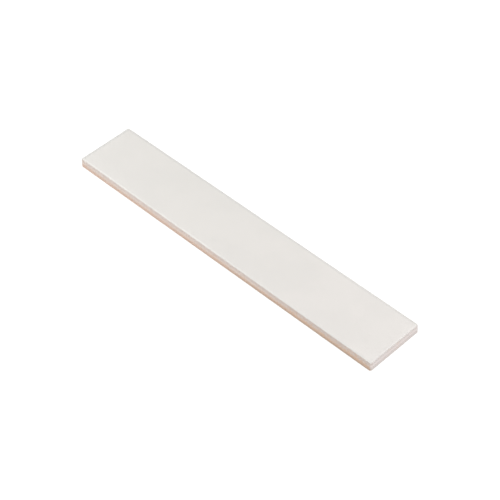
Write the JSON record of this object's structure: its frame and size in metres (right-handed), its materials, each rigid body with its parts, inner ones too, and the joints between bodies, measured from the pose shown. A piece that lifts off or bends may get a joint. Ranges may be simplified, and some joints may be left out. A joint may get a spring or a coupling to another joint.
{
  "type": "ceramic field tile",
  "caption": "Long narrow glazed ceramic field tile with rolled glazed edges, glaze-washed clay sides and a waffle-keyed back that adhesive bonds to a wall.",
  "frame": {"origin": "middle of the back, on the plane of its ribs, which the tile lies on", "axes": "+X along the length, +Y across the width, +Z out of the glazed face"},
  "size_m": [0.3, 0.05, 0.008],
  "materials": {
    "glazed_clay": "satin off-white glaze on the face and rolled edges, thinning down the sides over pinkish tan fired clay, with a bare clay back"
  },
  "bodies": {
    "root": {"field_tile": "glazed_clay"}
  },
  "joints": []
}
